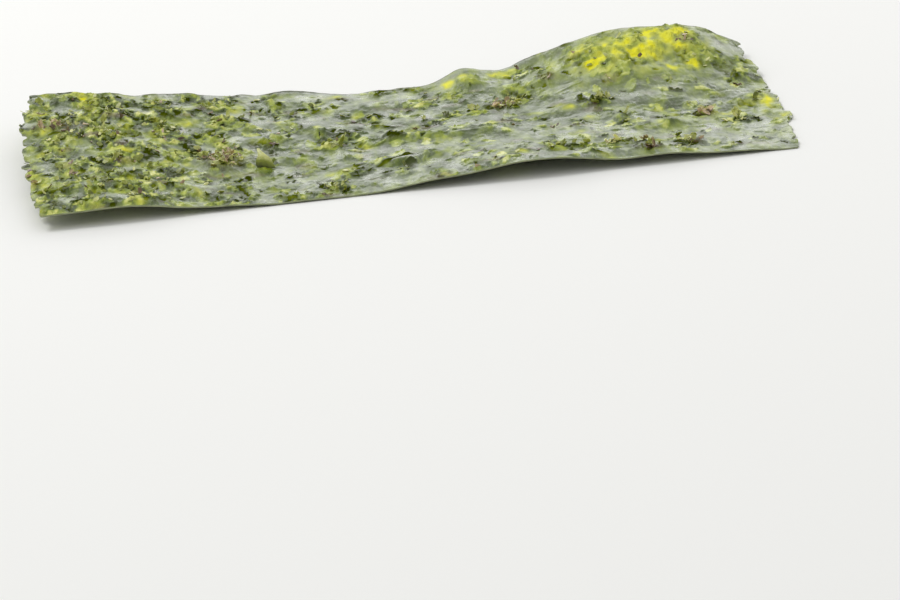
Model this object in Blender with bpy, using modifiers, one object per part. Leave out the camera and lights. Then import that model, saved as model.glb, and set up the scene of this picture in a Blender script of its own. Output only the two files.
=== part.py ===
"""One snack-cut sheet of roasted, seasoned nori, the dried laver seaweed. Metres, +Z up.

The sheet is a thin, brittle solid. Its underside is a fine grid laid over a few long humps, pressed flat where
it rests, and the top face is the same grid raised by the thickness. Curled flakes of laver stand up from the
top face and are fused to it. X runs along the long side and Y across it. The origin is on the ground, under
the middle of the sheet.
"""

import math
import random
from typing import NamedTuple

import bmesh
import bpy
from mathutils import Matrix, Vector, noise

MM = 0.001

# Cut sheet: a full 270 x 190 mm sheet of laver makes three strips of four
LENGTH = 90.0 * MM
WIDTH = 47.5 * MM
THICKNESS = 0.4 * MM
CELL = 1.8 * MM
FRONT = -WIDTH / 2
BACK = WIDTH / 2

# Edges: the short ones are torn and bulge a little, the front one is cut clean, the back one is bumpy
BULGE = 1.3 * MM
TORN_DEPTH = 0.9 * MM
BUMP_DEPTH = 0.3 * MM
CUT_DEPTH = 0.05 * MM
TEAR_STEP = 3.2 * MM

# Crinkles of the dried film, long along X, and how deep the sheet settles into its flat resting spots
CRINKLE_HEIGHT = 0.45 * MM
CRINKLE_LENGTH = 8.0 * MM
CRINKLE_BREADTH = 4.2 * MM
SETTLE = 0.15 * MM

# Curled flakes: how many, how big, how steep
FLAKE_COUNT = 84
FLAKE_THICKNESS = 0.24 * MM
FLAKE_SIZES = (1.6 * MM, 3.6 * MM)
FLAKE_SHAPE = 0.45
FLAKE_ROOT = 0.2
FLAKE_TILT = (3.0, 13.0)
FLAKE_TURN = 50.0
FLAKE_GAP = 3.4 * MM
FLAKE_MARGIN = 2.6 * MM
FLAKE_CUTS = 2
SEED = 7


class Hump(NamedTuple):
    """A rounded rise of the sheet: its height, its place, and how far it reaches along and across."""

    height: float
    x: float
    y: float
    along: float
    across: float


class Crease(NamedTuple):
    """A straight fold line from one point to another, standing a little proud."""

    height: float
    start: tuple
    end: tuple
    breadth: float


HUMPS = (
    Hump(1.8 * MM, -39 * MM, FRONT, 13 * MM, 26 * MM),
    Hump(1.9 * MM, 11 * MM, FRONT, 13 * MM, 20 * MM),
    Hump(0.9 * MM, 30 * MM, FRONT, 10 * MM, 18 * MM),
    Hump(4.2 * MM, -45 * MM, BACK, 25 * MM, 30 * MM),
    Hump(0.7 * MM, -12 * MM, BACK, 4 * MM, 9 * MM),
    Hump(1.5 * MM, 10 * MM, BACK, 3 * MM, 9 * MM),
    Hump(4.8 * MM, 30 * MM, BACK, 12.5 * MM, 19 * MM),
    Hump(1.7 * MM, 40 * MM, BACK, 5 * MM, 12 * MM),
)

CREASES = (
    Crease(0.40 * MM, (-9 * MM, 5 * MM), (-1 * MM, -1 * MM), 1.6 * MM),
    Crease(0.45 * MM, (-1 * MM, -1 * MM), (12 * MM, -4 * MM), 1.6 * MM),
    Crease(0.30 * MM, (-2 * MM, 14 * MM), (9 * MM, 13 * MM), 1.8 * MM),
    Crease(0.35 * MM, (28 * MM, -10 * MM), (36 * MM, -9.5 * MM), 1.6 * MM),
    Crease(0.30 * MM, (-8 * MM, -12 * MM), (1 * MM, -12 * MM), 1.5 * MM),
)


def clear_scene() -> None:
    """Remove whatever the file holds."""
    for item in list(bpy.data.objects):
        bpy.data.objects.remove(item, do_unlink=True)


def make_collection(name: str) -> bpy.types.Collection:
    """Make a collection in the scene, and return it."""
    collection = bpy.data.collections.new(name)
    bpy.context.scene.collection.children.link(collection)
    return collection


def make_material() -> bpy.types.Material:
    """Dark green roasted laver with a thin film of oil."""
    material = bpy.data.materials.new("roasted laver")
    material.use_nodes = True
    shader = material.node_tree.nodes["Principled BSDF"]
    shader.inputs["Base Color"].default_value = (0.035, 0.055, 0.018, 1.0)
    shader.inputs["Roughness"].default_value = 0.38
    shader.inputs["Metallic"].default_value = 0.0
    return material


def hump_height(x: float, y: float) -> float:
    """Height of the long waves at a place."""
    total = 0.0
    for hump in HUMPS:
        along = (x - hump.x) / hump.along
        across = (y - hump.y) / hump.across
        total += hump.height * math.exp(-along * along - across * across)
    return total


def crease_height(x: float, y: float) -> float:
    """Height of the fold lines at a place."""
    total = 0.0
    point = Vector((x, y))
    for crease in CREASES:
        start = Vector(crease.start)
        run = Vector(crease.end) - start
        share = min(1.0, max(0.0, (point - start).dot(run) / run.length_squared))
        away = (point - start - run * share).length / crease.breadth
        total += crease.height * math.exp(-away * away)
    return total


def crinkle_height(x: float, y: float) -> float:
    """Shallow crinkles of the film, longer along X than across it."""
    return CRINKLE_HEIGHT * noise.noise(Vector((x / CRINKLE_LENGTH, y / CRINKLE_BREADTH, 1.7)))


def underside_height(x: float, y: float) -> float:
    """Height of the underside, level with the ground where the sheet rests."""
    return max(0.0, hump_height(x, y) + crease_height(x, y) + crinkle_height(x, y) - SETTLE)


def tear(depth: float, place: float, edge: float) -> float:
    """How far a ragged edge steps in or out at a place along it; edge is a number of its own for each edge."""
    coarse = noise.noise(Vector((place / TEAR_STEP, edge, 0.3)))
    return depth * coarse


def plan_point(across_share: float, along_share: float) -> tuple:
    """Plan position for shares from -1 to 1 of the half length and half width."""
    y_middle = across_share * WIDTH / 2
    bulge = BULGE * (1.0 - across_share * across_share)
    left = -LENGTH / 2 - bulge + tear(TORN_DEPTH, y_middle, 11.5)
    right = LENGTH / 2 + bulge + tear(TORN_DEPTH, y_middle, 23.5)
    x = left + (right - left) * (along_share + 1.0) / 2
    front = FRONT + tear(CUT_DEPTH, x, 37.5)
    back = BACK + tear(BUMP_DEPTH, x, 41.5)
    y = front + (back - front) * (across_share + 1.0) / 2
    return x, y


def make_sheet(collection: bpy.types.Collection, material: bpy.types.Material) -> bpy.types.Object:
    """Lay a grid over the humps and thicken it upwards."""
    columns = round(LENGTH / CELL)
    rows = round(WIDTH / CELL)
    bpy.ops.mesh.primitive_grid_add(x_subdivisions=columns, y_subdivisions=rows, size=2.0)
    sheet = bpy.context.object
    sheet.name = "nori_sheet"
    sheet.data.name = "nori_sheet"
    for vertex in sheet.data.vertices:
        x, y = plan_point(vertex.co.y, vertex.co.x)
        vertex.co = (x, y, underside_height(x, y))
    triangles = sheet.modifiers.new("triangles", 'TRIANGULATE')
    triangles.quad_method = 'BEAUTY'
    thickness = sheet.modifiers.new("thickness", 'SOLIDIFY')
    thickness.thickness = THICKNESS
    thickness.offset = 1.0
    bpy.ops.object.convert(target='MESH')
    sheet.data.materials.append(material)
    move_to(sheet, collection)
    return sheet


def move_to(item: bpy.types.Object, collection: bpy.types.Collection) -> None:
    """Take an object out of the collections that it is in, and put it in this one."""
    for old in list(item.users_collection):
        old.objects.unlink(item)
    collection.objects.link(item)


def flake_mesh(length: float) -> bpy.types.Mesh:
    """A leaf-shaped flake along +X, rooted behind its origin, tapering and curling up towards its tip."""
    width = length * FLAKE_SHAPE
    root = length * FLAKE_ROOT
    shape = bmesh.new()
    bmesh.ops.create_cube(shape, size=1.0)
    lengthwise = [edge for edge in shape.edges
                  if abs(edge.verts[0].co.x - edge.verts[1].co.x) > 0.5]
    bmesh.ops.subdivide_edges(shape, edges=lengthwise, cuts=FLAKE_CUTS, use_grid_fill=True)
    for vertex in shape.verts:
        share = vertex.co.x + 0.5
        swell = 0.35 + 0.65 * math.sin(math.pi * min(1.0, share * 0.85 + 0.1))
        thinning = 1.0 - 0.45 * share
        x = share * length - root
        y = vertex.co.y * width * swell
        z = vertex.co.z * FLAKE_THICKNESS * thinning + 0.9 * max(0.0, x) ** 2 / (4 * length)
        vertex.co = (x, y, z)
    bmesh.ops.triangulate(shape, faces=shape.faces)
    mesh = bpy.data.meshes.new("flake")
    shape.to_mesh(mesh)
    shape.free()
    return mesh


def flake_places(draw: random.Random) -> list:
    """Seeded places over the sheet, each clear of the edges and of the others."""
    places = []
    while len(places) < FLAKE_COUNT:
        x = draw.uniform(-LENGTH / 2 + FLAKE_MARGIN, LENGTH / 2 - FLAKE_MARGIN)
        y = draw.uniform(FRONT + FLAKE_MARGIN, BACK - FLAKE_MARGIN)
        if all(math.hypot(x - other[0], y - other[1]) > FLAKE_GAP for other in places):
            places.append((x, y))
    return places


def scatter_flakes(sheet: bpy.types.Object, collection: bpy.types.Collection) -> None:
    """Root flakes in the top face, most of them lying along X, each lifted at its free end."""
    draw = random.Random(SEED)
    bpy.context.view_layer.update()
    for x, y in flake_places(draw):
        _, spot, normal, _ = sheet.ray_cast(Vector((x, y, LENGTH)), Vector((0.0, 0.0, -1.0)))
        turn = math.radians(draw.uniform(-FLAKE_TURN, FLAKE_TURN) + draw.choice((0.0, 180.0)))
        tilt = math.radians(draw.uniform(*FLAKE_TILT))
        flake = bpy.data.objects.new("flake", flake_mesh(draw.uniform(*FLAKE_SIZES)))
        collection.objects.link(flake)
        lean = Vector((0.0, 0.0, 1.0)).rotation_difference(normal).to_matrix().to_4x4()
        flake.matrix_world = (Matrix.Translation(spot) @ lean @ Matrix.Rotation(turn, 4, 'Z')
                              @ Matrix.Rotation(-tilt, 4, 'Y'))


def fuse(sheet: bpy.types.Object, flakes: bpy.types.Collection) -> None:
    """Join the flakes to the sheet as one solid, and remove the loose ones."""
    union = sheet.modifiers.new("flakes", 'BOOLEAN')
    union.operation = 'UNION'
    union.operand_type = 'COLLECTION'
    union.collection = flakes
    union.solver = 'EXACT'
    bpy.context.view_layer.objects.active = sheet
    bpy.ops.object.modifier_apply(modifier=union.name)
    for flake in list(flakes.objects):
        bpy.data.objects.remove(flake, do_unlink=True)
    bpy.data.collections.remove(flakes)


def centre(sheet: bpy.types.Object) -> None:
    """Move the sheet in plan so that the origin is under the middle of its box."""
    xs = [vertex.co.x for vertex in sheet.data.vertices]
    ys = [vertex.co.y for vertex in sheet.data.vertices]
    middle = Vector(((min(xs) + max(xs)) / 2, (min(ys) + max(ys)) / 2, 0.0))
    sheet.data.transform(Matrix.Translation(-middle))


def main() -> None:
    """Build the sheet."""
    clear_scene()
    parts = make_collection("nori sheet")
    flakes = make_collection("loose flakes")
    sheet = make_sheet(parts, make_material())
    scatter_flakes(sheet, flakes)
    fuse(sheet, flakes)
    centre(sheet)


main()
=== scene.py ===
"""Looks of one snack-cut sheet of roasted, seasoned nori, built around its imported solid.

The film is a fine closed mesh over the same humps as the solid, with wrinkles, overlapping scraps of laver
blade and crumbly patches as relief. Torn flakes curl up from those patches as real geometry. Lengths are in
metres.
"""

import logging
import math
from dataclasses import dataclass, field
from enum import Enum
from functools import partial
from typing import Callable

import bpy
import numpy as np
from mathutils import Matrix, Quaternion, Vector, noise


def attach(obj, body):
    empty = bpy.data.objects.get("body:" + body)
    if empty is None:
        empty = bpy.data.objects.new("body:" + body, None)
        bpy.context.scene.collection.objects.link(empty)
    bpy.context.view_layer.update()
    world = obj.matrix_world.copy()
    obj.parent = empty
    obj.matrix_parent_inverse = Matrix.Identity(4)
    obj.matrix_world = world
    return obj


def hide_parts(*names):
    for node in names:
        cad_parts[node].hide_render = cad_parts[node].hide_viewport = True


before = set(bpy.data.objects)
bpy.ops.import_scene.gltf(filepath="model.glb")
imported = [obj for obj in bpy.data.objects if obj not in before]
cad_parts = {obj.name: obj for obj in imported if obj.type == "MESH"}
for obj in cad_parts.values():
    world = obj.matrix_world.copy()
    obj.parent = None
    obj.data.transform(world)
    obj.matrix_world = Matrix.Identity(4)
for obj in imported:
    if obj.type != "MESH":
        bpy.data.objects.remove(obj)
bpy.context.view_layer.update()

LOG = logging.getLogger("nori")
MM = 0.001
NODE = "nori_sheet"
BODY = "root"

Span = tuple[float, float]
Stops = tuple[tuple[float, str], ...]
Node = bpy.types.Node
Socket = bpy.types.NodeSocket
Material = bpy.types.Material
Piece = bpy.types.Object


def linear(hex_colour: str) -> tuple[float, float, float, float]:
    """Turn an sRGB hex colour into the linear one that shaders take.

    Args:
        hex_colour: Six hex digits after a hash sign.

    Returns:
        Linear red, green and blue, with an alpha of 1.
    """
    shares = [int(hex_colour[start:start + 2], 16) / 255 for start in (1, 3, 5)]
    channels = [s / 12.92 if s <= 0.04045 else ((s + 0.055) / 1.055) ** 2.4 for s in shares]
    return channels[0], channels[1], channels[2], 1.0


def plug(node: Node, inputs: dict) -> None:
    """Set a node's sockets.

    Args:
        node: The node.
        inputs: Socket names or numbers, each with a value or with the output socket that feeds it.
    """
    for name, value in inputs.items():
        if isinstance(value, Socket):
            node.id_data.links.new(value, node.inputs[name])
        else:
            node.inputs[name].default_value = value


def add_node(tree: bpy.types.NodeTree, kind: str, inputs: dict | None = None,
             **settings: str | bool) -> Node:
    """Add a shader node with its socket values, its links and its settings.

    Args:
        tree: The material's node tree.
        kind: The node's type name, without the words that all shader nodes start with.
        inputs: What plug takes.
        **settings: The node's own attributes and the values that they take.

    Returns:
        The new node.
    """
    made = tree.nodes.new("ShaderNode" + kind)
    for name, value in settings.items():
        setattr(made, name, value)
    plug(made, inputs or {})
    return made


def fill_ramp(ramp: Node, stops: Stops) -> Socket:
    """Give a colour ramp its stops.

    Args:
        ramp: The ramp's node.
        stops: Places in rising order from 0 to 1, each with its hex colour.

    Returns:
        The socket that carries the ramp's colour.
    """
    elements = ramp.color_ramp.elements
    for place, _ in stops[1:-1]:
        elements.new(place)
    for element, (_, colour) in zip(elements, stops):
        element.color = linear(colour)
    return ramp.outputs["Color"]


def new_material(name: str) -> tuple[Material, Callable[..., Node], Node]:
    """Start a material with one Principled shader.

    Args:
        name: The finish's plain name.

    Returns:
        The material, add_node for its own tree, and its shader.
    """
    material = bpy.data.materials.new(name)
    material.use_nodes = True
    return material, partial(add_node, material.node_tree), material.node_tree.nodes["Principled BSDF"]


def new_piece(name: str, points: np.ndarray, faces: list[list[int]],
              *materials: Material) -> Piece:
    """Make a piece with its place in its mesh, and link it to the scene.

    Args:
        name: The piece's name.
        points: Rows of x, y and z.
        faces: Lists of point numbers.
        *materials: Its materials, in the order of their slots.

    Returns:
        The piece, with all faces in the first slot.
    """
    mesh = bpy.data.meshes.new(name)
    mesh.from_pydata(points, [], faces)
    for material in materials:
        mesh.materials.append(material)
    piece = bpy.data.objects.new(name, mesh)
    bpy.context.scene.collection.objects.link(piece)
    return piece


def store(piece: Piece, name: str, values: np.ndarray) -> None:
    """Store one number for each point of a piece, which its finish reads by name."""
    stored = piece.data.attributes.new(name, 'FLOAT', 'POINT')
    stored.data.foreach_set("value", values.astype(np.float32))


def deselect_all() -> None:
    """Leave nothing selected, so that an operator acts on the new piece alone."""
    if bpy.context.object and bpy.context.object.mode != 'OBJECT':
        bpy.ops.object.mode_set(mode='OBJECT')
    bpy.ops.object.select_all(action='DESELECT')


def soft_step(value: np.ndarray, low: float, high: float) -> np.ndarray:
    """Rise smoothly from 0 to 1 as the value goes from low to high."""
    share = np.clip((value - low) / (high - low), 0.0, 1.0)
    return share * share * (3.0 - 2.0 * share)


def scrap_grid(segments: int, strips: int) -> tuple[np.ndarray, np.ndarray]:
    """Shares along one thin scrap, from 0 to 1, and across it, from -1 to 1."""
    shares = np.linspace(0.0, 1.0, segments + 1), np.linspace(-1.0, 1.0, strips + 1)
    return np.meshgrid(*shares, indexing="ij")


def scrap_faces(segments: int, strips: int) -> np.ndarray:
    """Faces of one thin scrap: a lower side, an upper side and a rim.

    Args:
        segments: Steps along its length.
        strips: Steps across its width.

    Returns:
        Rows of four point numbers; the lower side's points come first.
    """
    across = strips + 1
    per_side = (segments + 1) * across
    quads = []
    for i in range(segments):
        for j in range(strips):
            corner = i * across + j
            quad = [corner, corner + 1, corner + across + 1, corner + across]
            quads.append(quad)
            quads.append([point + per_side for point in reversed(quad)])
    ring = list(range(across))
    ring += [i * across + across - 1 for i in range(1, segments + 1)]
    ring += [segments * across + j for j in range(across - 2, -1, -1)]
    ring += [i * across for i in range(segments - 1, 0, -1)]
    for here, there in zip(ring, ring[1:] + ring[:1]):
        quads.append([there, here, here + per_side, there + per_side])
    return np.array(quads)


@dataclass(frozen=True)
class Pattern:
    """Smooth noise in plan: the size of one swell along and across, its seed, and its strength."""

    along: float
    across: float
    seed: float
    strength: float = 1.0

    @classmethod
    def mm(cls, along: float, across: float, seed: float, strength: float = 1.0) -> "Pattern":
        """Make a pattern whose swells are given in millimetres."""
        return cls(along * MM, across * MM, seed, strength)

    def at(self, x: np.ndarray, y: np.ndarray) -> np.ndarray:
        """Values of about -1 to 1 times the strength, one for each place."""
        places = zip(x.ravel() / self.along, y.ravel() / self.across)
        return self.strength * np.reshape([noise.noise((u, v, self.seed)) for u, v in places], x.shape)


@dataclass(frozen=True)
class Blots:
    """Patches with soft sides, cut out of a pattern where it rises from a low level to a high one."""

    pattern: Pattern
    low: float
    high: float
    strength: float = 1.0

    def at(self, x: np.ndarray, y: np.ndarray, lift: np.ndarray | float = 0.0) -> np.ndarray:
        """Values from 0 to the strength; lifting the pattern makes the patches larger."""
        return self.strength * soft_step(self.pattern.at(x, y) + lift, self.low, self.high)


@dataclass(frozen=True)
class Spot:
    """A rounded patch or hump: its place, its reach along and across, and its strength or height."""

    x: float
    y: float
    along: float
    across: float
    strength: float = 1.0

    @classmethod
    def mm(cls, x: float, y: float, along: float, across: float, strength: float = 1.0) -> "Spot":
        """Make a spot whose place and reach are given in millimetres."""
        return cls(x * MM, y * MM, along * MM, across * MM, strength)

    def at(self, x: np.ndarray, y: np.ndarray) -> np.ndarray:
        """Values from the strength in the middle to nearly 0 far away."""
        away = ((x - self.x) / self.along) ** 2 + ((y - self.y) / self.across) ** 2
        return self.strength * np.exp(-away)


@dataclass(frozen=True)
class Crease:
    """A straight line with soft sides: a fold with its height, or a line of painted shade with its
    strength.
    """

    start: tuple[float, float]
    end: tuple[float, float]
    breadth: float
    strength: float

    @classmethod
    def mm(cls, start: tuple[float, float], end: tuple[float, float], breadth: float,
           strength: float) -> "Crease":
        """Make a crease whose ends and breadth are given in millimetres."""
        return cls((start[0] * MM, start[1] * MM), (end[0] * MM, end[1] * MM), breadth * MM, strength)

    def at(self, x: np.ndarray, y: np.ndarray) -> np.ndarray:
        """How much of the line is felt at each place.

        Args:
            x: Places along the sheet.
            y: Places across the sheet.

        Returns:
            Values from the strength on the line to nearly 0 away from it.
        """
        run_x = self.end[0] - self.start[0]
        run_y = self.end[1] - self.start[1]
        along = ((x - self.start[0]) * run_x + (y - self.start[1]) * run_y) / (run_x ** 2 + run_y ** 2)
        along = np.clip(along, 0.0, 1.0)
        away_x = x - self.start[0] - along * run_x
        away_y = y - self.start[1] - along * run_y
        return self.strength * np.exp(-(away_x ** 2 + away_y ** 2) / self.breadth ** 2)


Mark = Pattern | Spot | Crease


def added(marks: tuple[Mark, ...], x: np.ndarray, y: np.ndarray) -> np.ndarray:
    """Add up what some marks give at each place."""
    return sum(mark.at(x, y) for mark in marks)


def highest(marks: tuple[Mark, ...], x: np.ndarray, y: np.ndarray) -> np.ndarray:
    """Take the highest of what some marks give at each place."""
    return np.max([mark.at(x, y) for mark in marks], axis=0)


@dataclass(frozen=True)
class RaggedEdge:
    """One edge of the sheet, with the depths of its wide steps, its teeth and the bites out of it.

    Each edge reads its own row of the patterns, so no two are alike. The patterns run along the edge only.
    """

    row: float
    step_depth: float
    tooth_depth: float
    bite_depth: float = 0.0
    fringe_share: float = 2 / 9
    least_tooth: float = 0.6
    steps: Pattern = Pattern(3.2 * MM, 1.0, 0.3)
    bites: Blots = Blots(Pattern(1.9 * MM, 1.0, 3.6), 0.1, 0.3)
    teeth: Pattern = Pattern(1.6 * MM, 1.0, 7.9)
    tooth_sizes: Pattern = Pattern(4.16 * MM, 1.0, 9.4, 1.2)
    fringe: Pattern = Pattern(0.65 * MM, 1.0, 5.3)

    def offset(self, place: np.ndarray) -> np.ndarray:
        """How far the edge lies off its straight line.

        Args:
            place: Places along the edge.

        Returns:
            Offsets to either side.
        """
        row = np.full_like(place, self.row)
        teeth = self.teeth.at(place, row) * (self.least_tooth + self.tooth_sizes.at(place, row))
        fringe = self.fringe_share * self.step_depth * self.fringe.at(place, row)
        raised = self.step_depth * self.steps.at(place, row) + self.tooth_depth * teeth + fringe
        return raised - self.bite_depth * self.bites.at(place, row)


@dataclass
class SheetForm:
    """The cut sheet's outline and waves, shared by the film and all that lies on it."""

    length: float = 90.0 * MM
    width: float = 47.5 * MM
    bulge: float = 1.3 * MM
    left_edge: RaggedEdge = RaggedEdge(11.5, 0.9 * MM, 0.45 * MM, 0.4 * MM)
    right_edge: RaggedEdge = RaggedEdge(23.5, 0.9 * MM, 0.45 * MM, 0.4 * MM)
    front_edge: RaggedEdge = RaggedEdge(37.5, 0.1 * MM, 0.05 * MM)
    back_edge: RaggedEdge = RaggedEdge(41.5, 0.3 * MM, 0.3 * MM)
    tear_reach: float = 0.84
    crinkles: Pattern = Pattern.mm(8.0, 4.2, 1.7, 0.45 * MM)
    settle: float = 0.15 * MM
    creases: tuple[Crease, ...] = (
        Crease.mm((-9, 5), (-1, -1), 2.2, 0.28 * MM),
        Crease.mm((-1, -1), (12, -4), 2.2, 0.32 * MM),
        Crease.mm((-2, 14), (9, 13), 2.2, 0.24 * MM),
        Crease.mm((28, -10), (36, -9.5), 2.0, 0.28 * MM),
        Crease.mm((-8, -12), (1, -12), 1.8, 0.24 * MM),
    )
    front: float = field(init=False)
    back: float = field(init=False)
    humps: tuple[Spot, ...] = field(init=False)

    def __post_init__(self) -> None:
        """Find the long edges and stand the humps on them."""
        self.front = -self.width / 2
        self.back = self.width / 2
        self.humps = (
            Spot(-39 * MM, self.front, 13 * MM, 26 * MM, 1.8 * MM),
            Spot(11 * MM, self.front, 13 * MM, 20 * MM, 1.9 * MM),
            Spot(30 * MM, self.front, 10 * MM, 18 * MM, 0.9 * MM),
            Spot(-45 * MM, self.back, 25 * MM, 30 * MM, 4.2 * MM),
            Spot(-12 * MM, self.back, 4 * MM, 9 * MM, 0.7 * MM),
            Spot(10 * MM, self.back, 3 * MM, 9 * MM, 1.5 * MM),
            Spot(30 * MM, self.back, 12.5 * MM, 19 * MM, 4.8 * MM),
            Spot(40 * MM, self.back, 5 * MM, 12 * MM, 1.7 * MM),
        )

    def underside(self, x: np.ndarray, y: np.ndarray) -> np.ndarray:
        """Height of the underside, from the ground up where the sheet rests."""
        height = added((self.crinkles, *self.humps), x, y) + highest(self.creases, x, y)
        return np.maximum(0.0, height - self.settle)

    def plan(self, along_share: np.ndarray, across_share: np.ndarray) -> tuple[np.ndarray, np.ndarray]:
        """Places in plan for shares of the half length and half width.

        Args:
            along_share: From -1 at the left edge to 1 at the right.
            across_share: From -1 at the front edge to 1 at the back.

        Returns:
            The x and the y of each place.
        """
        level = across_share[:, 0] * self.width / 2
        half = self.length / 2 + self.bulge * (1.0 - across_share[:, 0] ** 2)
        x = half[:, None] * along_share
        x = x + self.right_edge.offset(level)[:, None] * soft_step(along_share, self.tear_reach, 1.0)
        x = x - self.left_edge.offset(level)[:, None] * soft_step(-along_share, self.tear_reach, 1.0)
        even_x = along_share[0] * self.length / 2
        front = self.front + self.front_edge.offset(even_x)
        back = self.back + self.back_edge.offset(even_x)
        y = (front + back)[None, :] / 2 + (back - front)[None, :] / 2 * across_share
        return x, y


@dataclass(frozen=True)
class CrumblyPatches:
    """Where the sheet breaks into flakes: small patches that crowd towards the left end, and knots."""

    green_knots: tuple[Spot, ...] = (
        Spot.mm(-8.9, -1.2, 1.8, 1.3),
        Spot.mm(-9.8, -20.6, 1.7, 1.5),
        Spot.mm(18.2, -16.3, 3.0, 1.2),
        Spot.mm(23.3, -17.5, 1.9, 1.4),
        Spot.mm(24.9, 2.4, 1.4, 1.3),
        Spot.mm(32.2, -19.3, 1.5, 1.3),
        Spot.mm(40.6, -8.8, 1.8, 1.5),
        Spot.mm(14.8, 9.6, 2.2, 1.6),
    )
    brown_knots: tuple[Spot, ...] = (
        Spot.mm(-22.2, -5.1, 2.4, 3.2),
        Spot.mm(13.6, 8.4, 1.6, 1.3),
        Spot.mm(27.9, -21.3, 1.1, 0.9),
        Spot.mm(36.8, -5.7, 1.5, 1.3),
        Spot.mm(-42.0, 9.5, 3.4, 1.4, 0.6),
    )
    # Smoother film along the front, which Film.tinted also paints paler as sheen.
    smooth_sheen_band: Spot = Spot.mm(24, -12, 26, 5, 0.6)
    smooth_slope: Spot = Spot.mm(27, 3, 13, 6.5, 0.75)
    hump_crumble: Spot = Spot.mm(31, 15, 11, 7, 0.55)
    hump_lift: float = 0.7
    left_span: Span = (5 * MM, 34 * MM)
    left_lift: float = 0.34
    usual_crowd: float = 0.5
    crowds: Pattern = Pattern.mm(11, 7, 40.3, 0.45)
    patches: Blots = Blots(Pattern.mm(2.8, 4.2, 31.2), 0.05, 0.42, 0.8)
    crumbs: Blots = Blots(Pattern.mm(1.4, 2.2, 35.7), 0.15, 0.42, 0.5)
    scorched: Blots = Blots(Pattern.mm(3.6, 2.0, 21.9), 0.3, 0.55, 0.8)

    def share(self, x: np.ndarray, y: np.ndarray) -> np.ndarray:
        """How crumbly the sheet is.

        Args:
            x: Places along the sheet.
            y: Places across the sheet.

        Returns:
            Values from 0, a smooth film, to 1, all flakes.
        """
        left = self.left_lift * soft_step(-x, *self.left_span)
        hump = self.hump_crumble.at(x, y)
        crowd = self.usual_crowd + self.crowds.at(x, y) + left + hump
        value = crowd * (self.patches.at(x, y, left + self.hump_lift * hump) + self.crumbs.at(x, y))
        value = value * (1.0 - self.smooth_sheen_band.at(x, y)) * (1.0 - self.smooth_slope.at(x, y))
        value = np.maximum(value, self.knot(x, y, False))
        return np.clip(value, 0.0, 1.0)

    def knot(self, x: np.ndarray, y: np.ndarray, only_brown: bool) -> np.ndarray:
        """How near the middle of a knot of flakes each place is: of any knot, or of a brown one only."""
        return highest(self.brown_knots if only_brown else self.green_knots + self.brown_knots, x, y)

    def brown(self, x: np.ndarray, y: np.ndarray) -> np.ndarray:
        """How scorched the sheet is at each place, from 0 to 1."""
        value = np.maximum(self.scorched.at(x, y), self.knot(x, y, True))
        return np.clip(value, 0.0, 1.0)


@dataclass(frozen=True)
class PaintedGlowPlaces:
    """Painted glow of light through the thin film: all over the right hump, in spots, and in stray flecks.

    The outlines of the hump's painted glow and of the spots sway, and a mottle breaks up all that is
    painted.
    """

    hump: Spot = Spot.mm(31.0, 16.5, 10.5, 7.5, 0.9)
    spots: tuple[Spot, ...] = (
        Spot.mm(26.1, 14.4, 2.2, 2.2, 1.0),
        Spot.mm(30.6, 14.7, 1.6, 2.2, 0.9),
        Spot.mm(37.0, 20.0, 2.4, 2.0, 1.2),
        Spot.mm(36.6, 11.0, 2.2, 2.0, 1.2),
        Spot.mm(9.2, 20.2, 3.4, 3.4, 1.25),
        Spot.mm(13.6, 21.6, 4.0, 3.0, 1.0),
        Spot.mm(4.0, 21.5, 9.0, 2.8, 0.6),
        Spot.mm(-43.6, 0.4, 2.8, 1.8, 1.3),
        Spot.mm(44.6, -1.8, 2.2, 4.6, 1.3),
        Spot.mm(45.4, -9.8, 1.8, 3.4, 1.2),
        Spot.mm(41.5, -2.5, 2.0, 1.6, 0.8),
    )
    span: Span = (0.05, 1.9)
    mottles: tuple[Pattern, ...] = (Pattern.mm(1.7, 2.8, 13.3), Pattern.mm(0.7, 1.5, 15.1, 0.7))
    sway_x: Pattern = Pattern.mm(1.5, 1.5, 18.4, 1.1 * MM)
    sway_y: Pattern = Pattern.mm(1.5, 1.5, 19.6, 1.3 * MM)
    spot_mottle: float = 0.9
    hump_light: float = 0.84
    hump_mottle: float = 1.1
    flecks: Blots = Blots(Pattern.mm(3.0, 4.0, 17.1), 0.1, 0.6, 0.5)
    fleck_light: float = 0.7
    fleck_mottle: float = 1.1
    left_span: Span = (0.0, 40 * MM)
    left_lift: float = 0.3

    def glow(self, x: np.ndarray, y: np.ndarray) -> np.ndarray:
        """Share of yellow light through the film that is painted into its colour.

        Args:
            x: Places along the sheet.
            y: Places across the sheet.

        Returns:
            Values from 0 to 1.
        """
        mottle = added(self.mottles, x, y)
        left = self.left_lift * soft_step(-x, *self.left_span)
        flecks = self.flecks.at(x, y, left) * (self.fleck_light + self.fleck_mottle * mottle)
        swayed = (x + self.sway_x.at(x, y), y + self.sway_y.at(x, y))
        hump = self.hump.at(*swayed)
        spots = (hump + highest(self.spots, *swayed)) * (1.0 + self.spot_mottle * mottle)
        hump = self.hump_light * hump * (1.0 + self.hump_mottle * mottle)
        return np.clip(np.max([soft_step(spots, *self.span), hump, flecks], axis=0), 0.0, 1.0)


@dataclass(frozen=True)
class OilCoat:
    """How the oil was brushed on: patchy, thinner towards the left end and thinnest in the middle."""

    dry: Spot = Spot.mm(4.0, 2.0, 24.0, 30.0, 0.54)
    patchy: Pattern = Pattern.mm(5.0, 9.0, 71.4, 0.12)
    left_span: Span = (8 * MM, 36 * MM)
    left_less: float = 0.25
    most: float = 1.2

    def amount(self, x: np.ndarray, y: np.ndarray) -> np.ndarray:
        """Amount of oil at each place; 1 is the usual amount."""
        less = self.left_less * soft_step(-x, *self.left_span) + self.dry.at(x, y)
        return np.clip(1.0 + self.patchy.at(x, y) - less, 0.0, self.most)


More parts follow.
